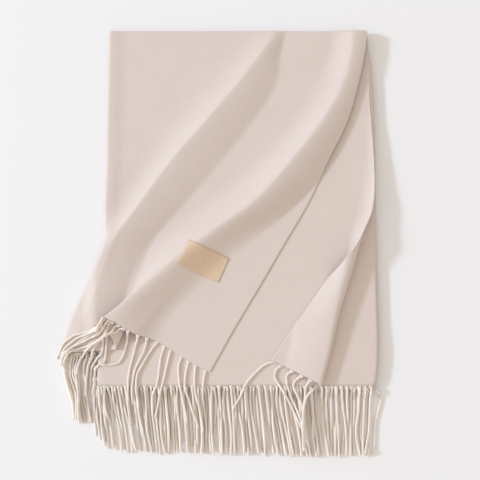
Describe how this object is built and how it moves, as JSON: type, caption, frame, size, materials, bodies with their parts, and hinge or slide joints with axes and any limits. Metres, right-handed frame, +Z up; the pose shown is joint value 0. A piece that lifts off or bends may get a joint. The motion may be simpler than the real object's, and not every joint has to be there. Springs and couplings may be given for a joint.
{
  "type": "folded fringed shawl",
  "caption": "Soft brushed shawl with twisted fringed ends, laid flat and folded, its top ply drawn aside in two soft ridges and one corner turned back.",
  "frame": {"origin": "middle of the laid-out shawl's outline, on the surface it lies on", "axes": "+Y up the shawl from its fringe to its top fold, +X towards its open side edges, +Z up from the surface"},
  "size_m": [0.3982, 0.5468, 0.0335],
  "materials": {
    "brushed_cloth": "soft brushed nap, matt, pale beige",
    "label_tape": "smooth woven tape, light tan",
    "fringe_cords": "two-ply twisted yarn, soft and matt, pale beige"
  },
  "bodies": {
    "root": {"folded_core": "brushed_cloth", "under_panel": "brushed_cloth", "back_panel": "brushed_cloth", "middle_panel": "brushed_cloth", "front_panel": "brushed_cloth", "label": "label_tape", "under_fringe": "fringe_cords", "back_fringe": "fringe_cords", "middle_fringe": "fringe_cords", "side_fringe": "fringe_cords", "pleat_fringe": "fringe_cords", "front_fringe": "fringe_cords", "corner_fringe": "fringe_cords"}
  },
  "joints": []
}
